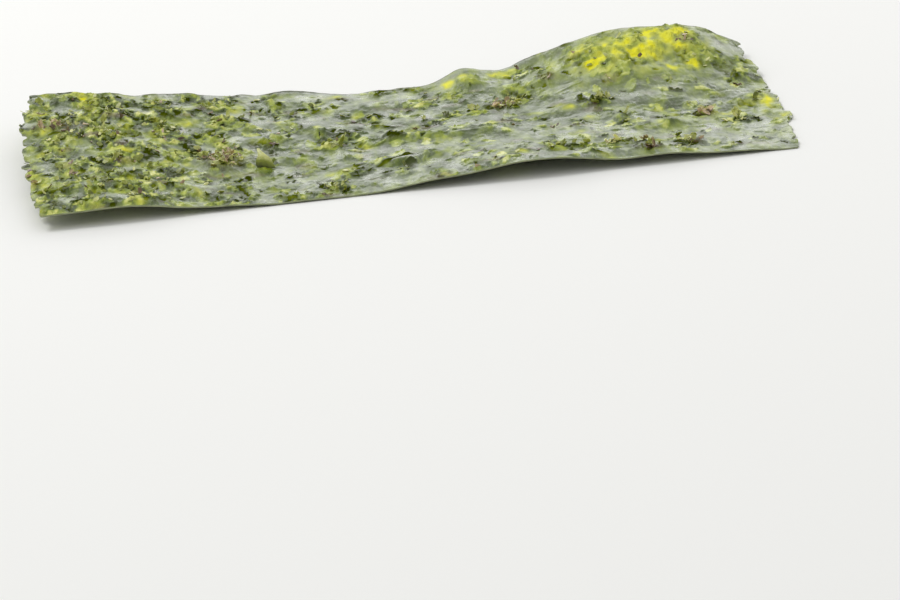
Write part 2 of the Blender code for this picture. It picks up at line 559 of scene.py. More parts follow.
@dataclass
class LaverFilm:
    """Roasted laver: a paper-thin film of pressed seaweed blades, brushed with oil and roasted.

    The oil gives a soft grey sheen at a low angle. Light through thin places is painted in as yellow-green
    glow, and shade in the pits between the curled blades as dark, saturated green. Mottle and crust are
    stretched from front to back, as the scraps are, so that they look round from a low angle. The blade's
    own grain is finer than a pixel, so it is drawn as coarse as it needs to show.
    """

    tones: Stops = ((0.0, "#2C3606"), (0.35, "#4C5E18"), (0.68, "#8E9E24"), (1.0, "#D2D470"))
    # Painted light through the thin places, from a dim yellow-green to the brightest yellow.
    painted_glow_yellows: Stops = ((0.0, "#A6B634"), (0.55, "#D6DA5C"), (1.0, "#F2EC2E"))
    # Painted shade in the pits between the curled blades.
    pit_shade_colour: str = "#3A4404"
    brown: str = "#685444"
    stretch: float = 3.0
    mottle_size: float = 2.0 * MM
    mottled: Span = (0.4, 0.85)
    crust_size: float = 0.95 * MM
    crust_span: Span = (0.32, 0.68)
    # Painted light and shade: the crust's rises paler and its hollows darker.
    crust_shade_tones: Span = (-0.75, -0.25)
    crust_depth: float = 0.4 * MM
    smooth_share: float = 0.16
    grain_size: float = 0.35 * MM
    grain_depth: float = 0.015 * MM
    streak_size: Span = (3.0 * MM, 5.0 * MM)
    streak_span: Span = (0.35, 0.65)
    gloss: Span = (0.2, 0.45)
    dulled: float = 0.35
    ior: float = 1.5
    specular: float = 0.8
    pit_shade_span: Span = (0.02, 0.24)
    bare_span: Span = (0.45, 0.9)
    glow_bare: float = 0.8
    glow_mottle: float = 0.9
    painted_glow_span: Span = (0.72, 1.55)
    add: Callable[..., Node] = field(init=False)
    place: Socket = field(init=False)
    stretched: Socket = field(init=False)
    tone: Socket = field(init=False)
    glow: Socket = field(init=False)
    scorch: Socket = field(init=False)
    crumbly: Socket = field(init=False)
    crust: Socket = field(init=False)
    pit_shade: Socket = field(init=False)

    def build(self) -> Material:
        """Make the material, which reads its shares and its oil from the film's own attributes.

        Returns:
            The finished material.
        """
        material, self.add, shader = new_material("roasted laver film")
        self.place = self.add("TexCoord").outputs["Object"]
        self.stretched = self.add("Mapping", {
            "Vector": self.place, "Scale": (1.0, 1 / self.stretch, 1.0)}).outputs[0]
        laver = self.add("Attribute", attribute_name="laver")
        shares = self.add("SeparateColor", {"Color": laver.outputs["Color"]})
        self.tone, self.glow, self.scorch = shares.outputs
        self.crumbly = laver.outputs["Alpha"]
        heights = self.add("TexNoise", {
            "Vector": self.stretched, "Scale": 1 / self.crust_size, "Detail": 3.0, "Roughness": 0.55})
        self.crust = self.add("MapRange", {
            "Value": heights.outputs["Fac"], "From Min": self.crust_span[0],
            "From Max": self.crust_span[1]}).outputs[0]
        # Painted shade: the darkest tones take the pits' shade colour.
        self.pit_shade = self.add("MapRange", {
            "Value": self.tone, "From Min": self.pit_shade_span[0], "From Max": self.pit_shade_span[1],
            "To Min": 1.0, "To Max": 0.0}).outputs[0]
        shader.inputs["Specular IOR Level"].default_value = self.specular
        plug(shader, {"Base Color": self.colour(), "Roughness": self.roughness(), "IOR": self.ior,
                      "Specular IOR Level": self.oiled(), "Normal": self.relief()})
        return material

    def oiled(self) -> Socket:
        """Lay the oil as a reflection, with none in the painted shade of the pits and less in the painted
        glow.

        Returns:
            The socket that carries the specular level.
        """
        glowing = self.add("MapRange", {
            "Value": self.glow, "From Min": self.bare_span[0], "From Max": self.bare_span[1],
            "To Max": self.glow_bare}).outputs[0]
        bare = self.add("Math", {0: self.pit_shade, 1: glowing}, operation='MAXIMUM').outputs[0]
        level = self.add("MapRange", {"Value": bare, "To Min": self.specular, "To Max": 0.0}).outputs[0]
        oil = self.add("Attribute", attribute_name="oil").outputs["Fac"]
        return self.add("Math", {0: level, 1: oil}, operation='MULTIPLY').outputs[0]

    def roughness(self) -> Socket:
        """Spread the oil in streaks, and dull it where the film crumbles or where its glow is painted.

        Returns:
            The socket that carries the roughness.
        """
        length, breadth = self.streak_size
        drawn_out = self.add("Mapping", {"Vector": self.place, "Scale": (1 / length, 1 / breadth, 1.0)})
        streaks = self.add("TexNoise", {
            "Vector": drawn_out.outputs[0], "Scale": 1.0, "Detail": 5.0, "Roughness": 0.65})
        sheen = self.add("MapRange", {
            "Value": streaks.outputs["Fac"], "From Min": self.streak_span[0],
            "From Max": self.streak_span[1], "To Min": self.gloss[0], "To Max": self.gloss[1]}).outputs[0]
        dull = self.add("Math", {0: self.crumbly, 1: self.glow}, operation='ADD').outputs[0]
        return self.add("Math", {0: dull, 1: self.dulled, 2: sheen}, operation='MULTIPLY_ADD').outputs[0]

    def relief(self) -> Socket:
        """Bump the crust of curled blades, deeper where the film crumbles, with a fine grain on it.

        Returns:
            The socket that carries the normal.
        """
        depth = self.add("MapRange", {"Value": self.crumbly, "To Min": self.smooth_share}).outputs[0]
        height = self.add("Math", {0: depth, 1: self.crust}, operation='MULTIPLY').outputs[0]
        puckers = self.add("Bump", {"Height": height, "Distance": self.crust_depth}).outputs[0]
        grain = self.add("TexNoise", {
            "Vector": self.stretched, "Scale": 1 / self.grain_size, "Detail": 2.0, "Roughness": 0.6})
        return self.add("Bump", {"Height": grain.outputs["Fac"], "Distance": self.grain_depth,
                                 "Normal": puckers}).outputs[0]

    def colour(self) -> Socket:
        """Mix the film's colours: green by tone, then painted pit shade, scorched places, painted yellow
        glow.

        Returns:
            The socket that carries the colour.
        """
        mottle = self.add("TexNoise", {
            "Vector": self.stretched, "Scale": 1 / self.mottle_size, "Detail": 4.0,
            "Roughness": 0.6}).outputs["Fac"]
        amount = self.add("MapRange", {
            "Value": self.crumbly, "To Min": self.mottled[0], "To Max": self.mottled[1]}).outputs[0]
        # Painted light and shade on the crust: paler on its rises, darker in its hollows.
        crust = self.add("MapRange", {
            "Value": self.crust, "To Min": self.crust_shade_tones[0], "To Max": self.crust_shade_tones[1]}).outputs[0]
        uneven = self.add("Math", {0: mottle, 1: crust}, operation='ADD').outputs[0]
        tone = self.add("Math", {0: uneven, 1: amount, 2: self.tone},
                        operation='MULTIPLY_ADD', use_clamp=True)
        colour = fill_ramp(self.add("ValToRGB", {"Fac": tone.outputs[0]}), self.tones)
        # Painted light through thin places: yellow, brighter where the glow and its mottle are stronger.
        lit = self.add("Math", {0: mottle, 1: self.glow_mottle, 2: self.glow}, operation='MULTIPLY_ADD')
        bright = self.add("MapRange", {
            "Value": lit.outputs[0], "From Min": self.painted_glow_span[0], "From Max": self.painted_glow_span[1]})
        yellow = fill_ramp(self.add("ValToRGB", {"Fac": bright.outputs[0]}), self.painted_glow_yellows)
        # Painted shade in the pits, the scorched colour, then painted light through thin places on top.
        layers = ((self.pit_shade, linear(self.pit_shade_colour)), (self.scorch, linear(self.brown)), (self.glow, yellow))
        for share, layer in layers:
            colour = self.add("Mix", {"Factor": share, 6: colour, 7: layer}, data_type='RGBA').outputs[2]
        return colour


@dataclass(frozen=True)
class CutEdge:
    """The rim of the film, cut along it and torn across it: dry fibres, paler than the oiled faces."""

    shaded: str = "#565E38"
    pale: str = "#B2BA90"
    fibre: float = 1.1 * MM
    roughness: float = 0.6

    def build(self) -> Material:
        """Make the material.

        Returns:
            The finished material.
        """
        material, add, shader = new_material("cut laver edge")
        place = add("TexCoord").outputs["Object"]
        fibres = add("TexNoise", {"Vector": place, "Scale": 1 / self.fibre, "Detail": 2.0}).outputs["Fac"]
        colours = add("Mix", {"Factor": fibres, 6: linear(self.shaded), 7: linear(self.pale)},
                      data_type='RGBA')
        plug(shader, {"Base Color": colours.outputs[2], "Roughness": self.roughness})
        return material


@dataclass(frozen=True)
class BladeFlake:
    """Torn bits of laver blade that curled up in roasting: matter than the film, lighter where thin."""

    name: str
    tones: Stops
    vein: float = 0.5 * MM
    vein_tones: Span = (-0.25, 0.25)
    roughness: float = 0.38
    translucency: float = 0.4
    scatter: float = 0.2 * MM
    scatter_tint: tuple[float, float, float] = (1.0, 1.0, 0.4)

    def build(self) -> Material:
        """Make the material, which reads each flake's own tone from an attribute.

        Returns:
            The finished material.
        """
        material, add, shader = new_material(self.name)
        place = add("TexCoord").outputs["Object"]
        own = add("Attribute", attribute_name="tone").outputs["Fac"]
        veins = add("TexNoise", {"Vector": place, "Scale": 1 / self.vein, "Detail": 2.0}).outputs["Fac"]
        spread = add("MapRange", {
            "Value": veins, "To Min": self.vein_tones[0], "To Max": self.vein_tones[1]})
        tone = add("Math", {0: own, 1: spread.outputs[0]}, operation='ADD', use_clamp=True)
        colour = fill_ramp(add("ValToRGB", {"Fac": tone.outputs[0]}), self.tones)
        plug(shader, {"Base Color": colour, "Roughness": self.roughness,
                      "Subsurface Weight": self.translucency, "Subsurface Scale": self.scatter,
                      "Subsurface Radius": self.scatter_tint})
        return material


class FlakeKind(Enum):
    """Kinds of flakes, each with its own finish."""

    GREEN = BladeFlake("curled green laver", ((0.0, "#333C0A"), (0.5, "#869030"), (1.0, "#DEDE98")))
    BROWN = BladeFlake("scorched brown laver", ((0.0, "#43331F"), (0.5, "#735E44"), (1.0, "#D2BC98")))


@dataclass(frozen=True)
class Scraps:
    """Overlapping scraps of blade that show as relief and tone in the film.

    Half lengths, steps and curls are in metres, breadths are shares of the half length, and turn is a
    spread in radians. A scrap's outline is an ellipse with lobes: each pair is a number of lobes round the
    scrap and their depth. Where its outline, its soft side and its raised rim lie is given in shares of
    that ellipse.
    """

    count: int
    half_length: Span
    breadth: Span
    turn: float
    step: float
    curl: float
    tones: Span
    cover: float
    only_crumbly: bool
    lobes: tuple[tuple[int, float], ...] = ((2, 0.16), (3, 0.12), (5, 0.08))
    outline: float = 1.08
    soft_side: float = 0.16
    rim: float = 0.92
    rim_breadth: float = 0.12
    pressed: float = 0.35
    spare_cells: int = 3


@dataclass
class Film:
    """The sheet itself, a closed mesh fine enough to hold its wrinkles.

    Heights, depths and reaches are in metres. Tones run from 0, the deepest green, to 1, the palest, and
    what is named for a tone is added to it.
    """

    form: SheetForm
    patches: CrumblyPatches
    # Where light through the film is painted as a yellow glow.
    thin: PaintedGlowPlaces = PaintedGlowPlaces()
    oil: OilCoat = OilCoat()
    thickness: float = 0.16 * MM
    thinnest: float = 0.09 * MM
    columns: int = 420
    rows: int = 222
    coarse: int = 6
    slope_reach: int = 2
    smooth_angle: float = math.radians(70)
    seed: int = 3
    blades: Scraps = Scraps(1100, (0.9 * MM, 3.2 * MM), (0.35, 0.7), 0.7, 0.04 * MM, 0.06 * MM,
                            (0.22, 0.52), 0.6, False)
    bits: Scraps = Scraps(6000, (0.55 * MM, 1.4 * MM), (0.35, 0.7), 0.8, 0.08 * MM, 0.2 * MM,
                          (-0.1, 1.0), 0.8, True)
    # Dents whose dark tones are painted shade in them.
    shaded_dents: Scraps = Scraps(700, (0.35 * MM, 0.9 * MM), (0.4, 0.7), 0.6, -0.06 * MM, 0.14 * MM,
                           (-0.4, 0.05), 0.75, True)
    shaded_dots: Scraps = Scraps(110, (0.3 * MM, 0.8 * MM), (0.4, 0.6), 0.5, -0.05 * MM, 0.1 * MM,
                          (-0.3, 0.1), 0.8, False)
    wrinkle_bend: Pattern = Pattern.mm(18, 9, 4.4, 2.5 * MM)
    wrinkles: tuple[Pattern, ...] = (Pattern.mm(13, 1.9, 5.1, 0.012 * MM),
                                     Pattern.mm(6, 1.0, 6.6, 0.006 * MM))
    crumples: tuple[Pattern, ...] = (Pattern.mm(2.4, 3.6, 8.2, 0.08 * MM),
                                     Pattern.mm(1.1, 2.0, 12.8, 0.072 * MM))
    crumple_share: float = 0.5
    crumbly_crumple: float = 1.7
    islands: Blots = Blots(Pattern.mm(1.1, 2.4, 53.9), -0.05, 0.3)
    specks: Pattern = Pattern.mm(0.55, 1.1, 58.3)
    speck_lift: float = 0.3
    island_height: float = 0.2 * MM
    speck_height: float = 0.07 * MM
    puckers: tuple[Spot, ...] = (
        Spot.mm(32.0, -10.1, 1.3, 0.7, 0.32 * MM),
        Spot.mm(-1.4, -13.4, 1.9, 0.9, 0.32 * MM),
    )
    fine_creases: tuple[Crease, ...] = (
        Crease.mm((-9.4, 4.6), (-1.7, -0.6), 0.9, 0.14 * MM),
        Crease.mm((-1.7, -0.6), (6.5, -3.9), 0.9, 0.16 * MM),
        Crease.mm((6.5, -3.9), (11.3, -4.3), 0.9, 0.14 * MM),
        Crease.mm((2.0, 14.6), (6.5, 13.8), 0.8, 0.14 * MM),
    )
    edge_calm: float = 1.0 * MM
    edge_relief: float = 0.15
    ruffles: Pattern = Pattern.mm(2.6, 4.8, 27.3)
    ruffle_lift: float = 0.05
    ruffle_height: float = 0.3 * MM
    ruffle_reach: float = 1.6 * MM
    bare_tone: float = 0.38
    # Painted light and shade on the crumbly relief: darker in its valleys, paler on its islands and specks.
    crumbly_valley_shade: float = -0.19
    island_lit_tone: float = 0.6
    speck_lit_tone: float = 0.24
    # Painted sheen: paler along the smooth band and along the front edge.
    band_sheen_tone: float = 0.12
    front_sheen_tone: float = 0.08
    dry_tone: float = -0.08
    # Painted light through the thin hump: paler there, with a mottle.
    hump_glow_tone: float = 0.15
    hump_mottle: Pattern = Pattern.mm(1.6, 2.6, 83.5, 0.45)
    # Painted shade: dark lines under a curled fold.
    painted_shade_seams: tuple[Crease, ...] = (
        Crease.mm((-4.2, -14.0), (-2.6, -12.4), 0.55, 0.55),
        Crease.mm((-2.6, -12.4), (-0.2, -12.0), 0.55, 0.55),
    )
    back_line: float = 0.7 * MM
    back_dark: float = 0.75
    back_uneven: Pattern = Pattern.mm(3.0, 9.0, 29.6, 0.5)
    scorch_share: float = 0.4
    crumbly_scorch: float = 0.5
    x: np.ndarray = field(init=False)
    y: np.ndarray = field(init=False)
    top: np.ndarray = field(init=False)

    def build(self) -> Piece:
        """Lay a fine grid over the waves with its relief, and close it below with a coarser one.

        Returns:
            The film, with its shares and its oil in the attributes that its finish reads.
        """
        along, across = np.meshgrid(np.linspace(-1.0, 1.0, self.columns + 1),
                                    np.linspace(-1.0, 1.0, self.rows + 1))
        self.x, self.y = self.form.plan(along, across)
        lower = self.form.underside(self.x, self.y)
        relief, shares = self.relief()
        self.top = lower + np.maximum(self.thickness + relief, self.thinnest)
        numbers = self.lower_numbers()
        kept = numbers >= 0
        points = np.concatenate([np.stack([self.x, self.y, self.top], axis=-1).reshape(-1, 3),
                                 np.stack([self.x[kept], self.y[kept], lower[kept]], axis=-1)])
        faces = self.upper_faces() + self.lower_faces(numbers)
        rim = self.rim_faces(numbers)
        film = new_piece("laver_film", points, faces + rim, LaverFilm().build(), CutEdge().build())
        film.data.polygons.foreach_set("material_index", [0] * len(faces) + [1] * len(rim))
        stored = film.data.color_attributes.new("laver", 'FLOAT_COLOR', 'POINT')
        stored.data.foreach_set("color", np.concatenate([shares.reshape(-1, 4), shares[kept]]).ravel())
        oil = self.oil.amount(self.x, self.y)
        store(film, "oil", np.concatenate([oil.ravel(), oil[kept]]))
        deselect_all()
        film.select_set(True)
        bpy.context.view_layer.objects.active = film
        bpy.ops.object.shade_smooth_by_angle(angle=self.smooth_angle)
        return film

    def lower_numbers(self) -> np.ndarray:
        """Number the points of the lower face: all along its edges, and one in a few between them.

        Returns:
            The number of each point of the grid in the mesh, and -1 where the lower face has none.
        """
        rows, columns = np.indices(self.x.shape)
        kept = (rows % self.coarse == 0) & (columns % self.coarse == 0)
        kept |= (rows == 0) | (rows == self.rows) | (columns == 0) | (columns == self.columns)
        numbers = np.full(self.x.shape, -1)
        numbers[kept] = self.x.size + np.arange(np.count_nonzero(kept))
        return numbers

    def upper_faces(self) -> list[list[int]]:
        """Faces of the top, one for each cell of the grid.

        Returns:
            Lists of four point numbers.
        """
        numbers = np.arange(self.x.size).reshape(self.x.shape)
        corners = [numbers[:-1, :-1], numbers[:-1, 1:], numbers[1:, 1:], numbers[1:, :-1]]
        return np.stack([corner.ravel() for corner in corners], axis=-1).tolist()

    def lower_faces(self, numbers: np.ndarray) -> list[list[int]]:
        """Faces of the underside: wide cells, which keep every point along the sheet's edges.

        Args:
            numbers: What lower_numbers returns.

        Returns:
            Lists of point numbers.
        """
        step = self.coarse
        faces = []
        for row in range(0, self.rows, step):
            for column in range(0, self.columns, step):
                ring = [(row + k, column) for k in range(step)]
                ring += [(row + step, column + k) for k in range(step)]
                ring += [(row + step - k, column + step) for k in range(step)]
                ring += [(row, column + step - k) for k in range(step)]
                faces.append([int(numbers[place]) for place in ring if numbers[place] >= 0])
        return faces

    def rim_faces(self, numbers: np.ndarray) -> list[list[int]]:
        """Faces round the rim, between the upper and the lower face.

        Args:
            numbers: What lower_numbers returns.

        Returns:
            Lists of four point numbers.
        """
        ring = [(0, column) for column in range(self.columns)]
        ring += [(row, self.columns) for row in range(self.rows)]
        ring += [(self.rows, column) for column in range(self.columns, 0, -1)]
        ring += [(row, 0) for row in range(self.rows, 0, -1)]
        faces = []
        for here, there in zip(ring, ring[1:] + ring[:1]):
            upper = [row * (self.columns + 1) + column for row, column in (there, here)]
            faces.append([int(numbers[here]), int(numbers[there]), *upper])
        return faces

    def relief(self) -> tuple[np.ndarray, np.ndarray]:
        """Work out the relief of the top face, and what its finish reads.

        Returns:
            The relief's height, and the tone, glow, brown and crumbly shares, each over the grid.
        """
        crumbly = self.patches.share(self.x, self.y)
        specks = self.specks.at(self.x, self.y)
        islands = self.islands.at(self.x, self.y, self.speck_lift * specks)
        height = np.zeros_like(self.x)
        tone = np.full_like(self.x, self.bare_tone)
        draw = np.random.default_rng(self.seed)
        for scraps in (self.blades, self.bits, self.shaded_dents, self.shaded_dots):
            self.lay(scraps, draw, crumbly, height, tone)
        height = height + self.wrinkled(crumbly)
        height = height + crumbly * (self.island_height * islands + self.speck_height * specks)
        height = height + highest(self.puckers, self.x, self.y) + added(self.fine_creases, self.x, self.y)
        # Painted light and shade on the crumbly relief: darker valleys, paler islands and specks.
        tone = tone + crumbly * (self.island_lit_tone * islands + self.crumbly_valley_shade + self.speck_lit_tone * specks)
        brown = self.patches.brown(self.x, self.y) * (self.scorch_share + self.crumbly_scorch * crumbly)
        shares = [self.tinted(tone), self.thin.glow(self.x, self.y), brown, crumbly]
        return self.calmed(height), np.stack(shares, axis=-1)

    def wrinkled(self, crumbly: np.ndarray) -> np.ndarray:
        """Height of the long bent wrinkles, and of the crumpling, which is deeper where the film crumbles.

        Args:
            crumbly: How crumbly the film is, over the grid.

        Returns:
            Heights over the grid.
        """
        bent = self.y + self.wrinkle_bend.at(self.x, self.y)
        deeper = self.crumple_share + self.crumbly_crumple * crumbly
        return added(self.wrinkles, self.x, bent) + added(self.crumples, self.x, self.y) * deeper

    def calmed(self, height: np.ndarray) -> np.ndarray:
        """Calm the relief along the cut edges, and ruffle the back one.

        Args:
            height: The relief's height, over the grid.

        Returns:
            The new heights.
        """
        from_edge = np.minimum(self.form.back - self.y, self.y - self.form.front)
        kept = self.edge_relief + (1.0 - self.edge_relief) * soft_step(from_edge, 0.0, self.edge_calm)
        ruffle = np.maximum(0.0, self.ruffles.at(self.x, self.y) + self.ruffle_lift)
        near_back = np.exp((self.y - self.form.back) / self.ruffle_reach)
        return height * kept + self.ruffle_height * ruffle * near_back

    def tinted(self, tone: np.ndarray) -> np.ndarray:
        """Tint the wide areas with painted sheen and glow, paint shade on the seams, darken the back edge
        line.

        Args:
            tone: The tone of the scraps and crumbs, over the grid.

        Returns:
            The new tones, from 0 to 1.
        """
        hump = self.thin.hump.at(self.x, self.y)
        # Painted sheen: paler along the smooth band and the front edge.
        tone = tone + self.band_sheen_tone * self.patches.smooth_sheen_band.at(self.x, self.y)
        tone = tone + self.front_sheen_tone * np.exp((self.form.front - self.y) / self.edge_calm)
        tone = tone + self.dry_tone * self.oil.dry.at(self.x, self.y)
        # Painted light through the thin hump: paler tone with a mottle.
        tone = tone + hump * (self.hump_glow_tone + self.hump_mottle.at(self.x, self.y))
        # Painted shade: darker along the seams under the curled fold.
        tone = tone - added(self.painted_shade_seams, self.x, self.y)
        dark = self.back_dark + self.back_uneven.at(self.x, self.y)
        tone = tone * (1.0 - dark * np.exp((self.y - self.form.back) / self.back_line))
        return np.clip(tone, 0.0, 1.0)

    def lay(self, scraps: Scraps, draw: np.random.Generator, crumbly: np.ndarray, height: np.ndarray,
            tone: np.ndarray) -> None:
        """Lay scraps of blade over each other, each with a step at its outline and one lifted side.

        Args:
            scraps: What to lay.
            draw: The film's own random draws.
            crumbly: How crumbly the film is, over the grid.
            height: Height so far, which this adds to.
            tone: Tone so far, which this paints over.
        """
        cell = self.form.length / self.columns
        for _ in range(scraps.count):
            x = draw.uniform(-0.5, 0.5) * self.form.length
            y = draw.uniform(-0.5, 0.5) * self.form.width
            half = draw.uniform(*scraps.half_length)
            breadth = half * draw.uniform(*scraps.breadth)
            turn = draw.normal(math.pi / 2, scraps.turn)
            lifted = draw.uniform(0.0, math.tau)
            own_tone = draw.uniform(*scraps.tones)
            phases = draw.uniform(0.0, math.tau, len(scraps.lobes))
            chance = draw.uniform()
            row = min(self.rows, round((y / self.form.width + 0.5) * self.rows))
            column = min(self.columns, round((x / self.form.length + 0.5) * self.columns))
            if scraps.only_crumbly and crumbly[row, column] < chance:
                continue
            reach = int(half / cell) + scraps.spare_cells
            window = (slice(max(0, row - reach), row + reach),
                      slice(max(0, column - reach), column + reach))
            dx = self.x[window] - x
            dy = self.y[window] - y
            along = (dx * math.cos(turn) + dy * math.sin(turn)) / half
            across = (dy * math.cos(turn) - dx * math.sin(turn)) / breadth
            angle = np.arctan2(across, along)
            wobble = sum(depth * np.sin(number * angle + phase)
                         for (number, depth), phase in zip(scraps.lobes, phases))
            ring = np.hypot(along, across) * (1.0 + wobble)
            inside = soft_step(scraps.outline - ring, 0.0, scraps.soft_side)
            raised = np.exp(-((ring - scraps.rim) / scraps.rim_breadth) ** 2)
            raised = raised * np.clip(np.cos(angle - lifted), 0.0, 1.0)
            height[window] *= 1.0 - scraps.pressed * inside
            height[window] += scraps.step * inside + scraps.curl * raised
            tone[window] += (own_tone - tone[window]) * inside * scraps.cover

    def surface(self, row: int, column: int) -> tuple[float, float, float, Vector]:
        """Read the top face at a point of the grid.

        Args:
            row: The point's row.
            column: The point's column.

        Returns:
            Its x, y and height, and the upward normal.
        """
        low, high = max(0, row - self.slope_reach), min(self.rows, row + self.slope_reach)
        left, right = max(0, column - self.slope_reach), min(self.columns, column + self.slope_reach)
        rise_x = self.top[row, right] - self.top[row, left]
        rise_y = self.top[high, column] - self.top[low, column]
        slope_x = rise_x / (self.x[row, right] - self.x[row, left])
        slope_y = rise_y / (self.y[high, column] - self.y[low, column])
        normal = Vector((-slope_x, -slope_y, 1.0)).normalized()
        return self.x[row, column], self.y[row, column], self.top[row, column], normal


@dataclass(frozen=True)
class FlakeCut:
    """One size of flake: its lengths, its fineness, how steeply it lifts, and how light the light ones are.

    It lies in the crumbly patches or in the knots only. Tries are the places drawn for each flake that is
    wanted, most of which chance leaves empty.
    """

    lengths: Span
    segments: int
    strips: int
    steepest: float = 0.32
    light: float = 0.65
    knots_only: bool = False
    tries: int = 12


class FlakeSize(Enum):
    """Sizes of flakes."""

    FLAKE = FlakeCut((0.5 * MM, 1.1 * MM), 4, 2)
    CRUMB = FlakeCut((0.35 * MM, 0.8 * MM), 2, 1)
    KNOT = FlakeCut((0.45 * MM, 1.0 * MM), 3, 2, steepest=0.5, light=0.75, knots_only=True, tries=400)


@dataclass
class Flakes:
    """All the torn flakes of one kind and size, joined in one mesh.

    A flake's half width, staggered ends and unevenness are shares of its length, and it is torn down to
    shares of its half width. Curl and gutter are a middle and a spread. Turned and rolled are spreads, and
    flattest is an angle, in radians.
    """

    film: Film
    kind: FlakeKind
    size: FlakeSize
    piece_name: str
    count: int
    seed: int
    half_width: Span = (0.35, 0.65)
    torn: Span = (0.45, 1.0)
    narrowed: float = 0.6
    staggered: float = 0.18
    curl: Span = (0.1, 0.3)
    gutter: Span = (0.1, 0.4)
    uneven: float = 0.05
    thickness: float = 0.06 * MM
    sunk: float = 0.3
    facing: float = 0.5
    turned: float = 0.9
    flattest: float = 0.05
    rolled: float = 0.2
    deepest: float = 0.6
    back_reach: float = 2.5 * MM
    back_shortened: float = 0.5
    back_flattened: float = 0.9
    dark: float = 0.36
    light_share: float = 0.6
    tone_spread: float = 0.14
    shades: Pattern = Pattern.mm(2.5, 3.0, 61.3, 0.35)
    fringe_reach: float = 0.8 * MM
    fringe_chance: float = 0.15
    unscorched_chance: float = 0.01
    unsure_share: float = 0.97
    back_chance: float = 0.03
    back_span: Span = (1.0 * MM, 4.0 * MM)
    front_span: Span = (0.3 * MM, 1.5 * MM)

    def build(self) -> Piece:
        """Shape every flake and join them.

        Returns:
            The piece, with each flake's tone in the attribute that its finish reads.
        """
        cut = self.size.value
        draw = np.random.default_rng(self.seed)
        points, tones = [], []
        places = self.places(draw)
        rows, columns = places.T
        shades = self.shades.at(self.film.x[rows, columns], self.film.y[rows, columns])
        for (row, column), shade in zip(places, shades):
            points.append(self.flake(draw, row, column))
            middle = cut.light if draw.uniform() < self.light_share else self.dark
            own = shade + draw.normal(middle, self.tone_spread)
            tones.append(np.full(len(points[-1]), np.clip(own, 0.0, 1.0)))
        one = scrap_faces(cut.segments, cut.strips)
        faces = np.concatenate([one + number * (one.max() + 1) for number in range(len(points))])
        piece = new_piece(self.piece_name, np.concatenate(points), faces.tolist(), self.kind.value.build())
        store(piece, "tone", np.concatenate(tones))
        return piece

    def places(self, draw: np.random.Generator) -> np.ndarray:
        """Choose where flakes lie: mostly in the crumbly patches, or in the knots alone.

        Args:
            draw: The piece's own random draws.

        Returns:
            Rows of two numbers: the row and the column of a point of the film's grid.
        """
        film = self.film
        cut = self.size.value
        tries = draw.integers(1, (film.rows, film.columns), (self.count * cut.tries, 2))
        rows, columns = tries.T
        x, y = film.x[rows, columns], film.y[rows, columns]
        if cut.knots_only:
            chance = film.patches.knot(x, y, self.kind is FlakeKind.BROWN) ** 3
        else:
            fringe = np.exp((np.abs(x) - film.form.length / 2 - film.form.bulge) / self.fringe_reach)
            chance = film.patches.share(x, y) ** 2 + self.fringe_chance * fringe
            if self.kind is FlakeKind.BROWN:
                chance = chance * (self.unscorched_chance + film.patches.brown(x, y) ** 2)
            chance = chance / np.quantile(chance, self.unsure_share)
        off_back = soft_step(film.form.back - y, *self.back_span)
        chance = chance * (self.back_chance + (1.0 - self.back_chance) * off_back)
        chance = chance * (1.0 - film.thin.hump.at(x, y))
        chance = chance * soft_step(y - film.form.front, *self.front_span)
        return tries[draw.uniform(size=len(tries)) < chance][:self.count]

    def flake(self, draw: np.random.Generator, row: int, column: int) -> np.ndarray:
        """Shape one flake: a torn scrap that bends along its length and lifts at one end.

        Args:
            draw: The piece's own random draws.
            row: Row of the film's point that its root lies on.
            column: Column of that point.

        Returns:
            Its points, the lower face first and then the upper.
        """
        cut = self.size.value
        x, y, height, normal = self.film.surface(row, column)
        to_back = math.exp(-abs(self.film.form.back - y) / self.back_reach)
        length = math.exp(draw.uniform(*np.log(cut.lengths)))
        length *= 1.0 - self.back_shortened * to_back
        half_width = length * draw.uniform(*self.half_width)
        s, t = scrap_grid(cut.segments, cut.strips)
        torn = draw.uniform(*self.torn, s.shape)
        torn[[0, -1]] *= self.narrowed
        u = length * s + self.staggered * length * draw.uniform(-1.0, 1.0, s.shape) * np.abs(t)
        v = half_width * torn * t
        curl = draw.normal(*self.curl)
        gutter = draw.normal(*self.gutter)
        w = curl * length * s ** 2 + gutter * half_width * t ** 2
        w = w + draw.normal(0.0, self.uneven, s.shape) * length
        points = np.stack([u, v, w], axis=-1).reshape(-1, 3)
        points = np.concatenate([points, points + np.array([0.0, 0.0, self.thickness])])
        faces_front = draw.uniform() < self.facing
        turn = draw.normal(math.pi / 2, self.turned) if faces_front else draw.uniform(0.0, math.tau)
        pitch = draw.uniform(self.flattest, cut.steepest) * (1.0 - self.back_flattened * to_back)
        roll = draw.normal(0.0, self.rolled)
        lean = Vector((0.0, 0.0, 1.0)).rotation_difference(normal)
        rotation = (lean @ Quaternion((0, 0, 1), turn) @ Quaternion((0, 1, 0), -pitch)
                    @ Quaternion((1, 0, 0), roll)).to_matrix()
        points = points @ np.array(rotation).T + np.array([x, y, height - self.sunk * self.thickness])
        points[:, 2] = np.maximum(points[:, 2], height - self.deepest * self.film.thickness)
        return points


